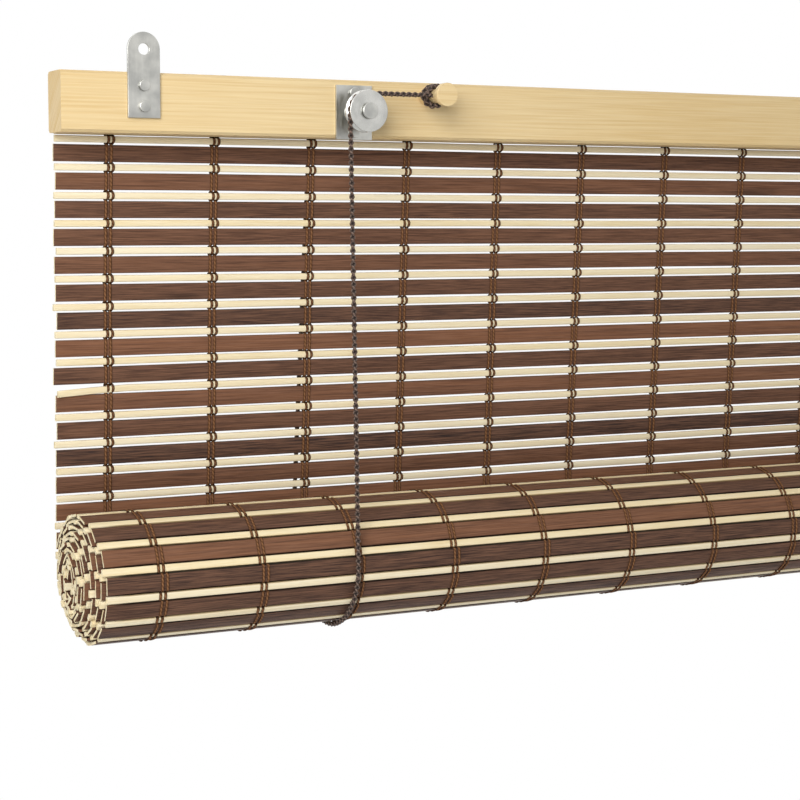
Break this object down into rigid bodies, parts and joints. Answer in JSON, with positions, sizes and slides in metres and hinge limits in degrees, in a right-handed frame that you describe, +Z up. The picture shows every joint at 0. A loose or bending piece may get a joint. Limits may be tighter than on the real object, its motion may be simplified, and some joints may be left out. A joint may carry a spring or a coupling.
{
  "type": "bamboo roll up blind",
  "caption": "Roll up window blind of wide dark bamboo slats and thin natural rods woven on thread warps, hanging from a batten, its lower part rolled up and held by a lift cord.",
  "frame": {"origin": "midpoint between the two hanger holes, in the plane of the headrail's front face", "axes": "+X along the slats to the viewer's right, +Y from the front of the blind to its back, +Z up"},
  "size_m": [0.7919, 0.0797, 0.3284],
  "materials": {
    "dark_bamboo": "stained satin",
    "natural_bamboo": "bare satin",
    "batten_wood": "planed, bare",
    "warp_thread": "twisted cotton thread",
    "cord": "braided cord",
    "steel": "zinc plated",
    "wheel_steel": "turned"
  },
  "bodies": {
    "blind": {"headrail": "batten_wood", "clamping_lath": "batten_wood", "lath_nails": "steel", "dark_slat_01": "dark_bamboo", "dark_slat_02": "dark_bamboo", "dark_slat_03": "dark_bamboo", "dark_slat_04": "dark_bamboo", "dark_slat_05": "dark_bamboo", "dark_slat_06": "dark_bamboo", "dark_slat_07": "dark_bamboo", "dark_slat_08": "dark_bamboo", "dark_slat_09": "dark_bamboo", "dark_slat_10": "dark_bamboo", "dark_slat_11": "dark_bamboo", "dark_slat_12": "dark_bamboo", "dark_slat_13": "dark_bamboo", "dark_slat_14": "dark_bamboo", "dark_slat_15": "dark_bamboo", "light_rod_01": "natural_bamboo", "light_rod_02": "natural_bamboo", "light_rod_03": "natural_bamboo", "light_rod_04": "natural_bamboo", "light_rod_05": "natural_bamboo", "light_rod_06": "natural_bamboo", "light_rod_07": "natural_bamboo", "light_rod_08": "natural_bamboo", "light_rod_09": "natural_bamboo", "light_rod_10": "natural_bamboo", "light_rod_11": "natural_bamboo", "light_rod_12": "natural_bamboo", "light_rod_13": "natural_bamboo", "light_rod_14": "natural_bamboo", "light_rod_15": "natural_bamboo", "light_rod_16": "natural_bamboo", "warp_thread_01": "warp_thread", "warp_thread_02": "warp_thread", "warp_thread_03": "warp_thread", "warp_thread_04": "warp_thread", "warp_thread_05": "warp_thread", "warp_thread_06": "warp_thread", "warp_thread_07": "warp_thread", "warp_thread_08": "warp_thread", "warp_thread_09": "warp_thread", "warp_thread_10": "warp_thread", "warp_thread_11": "warp_thread", "warp_thread_12": "warp_thread", "warp_thread_13": "warp_thread", "rolled_mat": "dark_bamboo", "left_hanger": "steel", "right_hanger": "steel", "plate_screws": "steel", "left_bracket": "steel", "left_axle": "steel", "right_bracket": "steel", "right_axle": "steel", "cord_pegs": "batten_wood", "lift_cord": "cord"},
    "left_wheel": {"left_wheel": "wheel_steel"},
    "right_wheel": {"right_wheel": "wheel_steel"}
  },
  "joints": [
    {"name": "left_wheel_spin", "type": "hinge", "parent": "blind", "child": "left_wheel", "pos_m": [-0.227, -0.017, -0.03], "axis": [0, 1, 0], "continuous": true},
    {"name": "right_wheel_spin", "type": "hinge", "parent": "blind", "child": "right_wheel", "pos_m": [0.227, -0.017, -0.03], "axis": [0, 1, 0], "continuous": true}
  ]
}
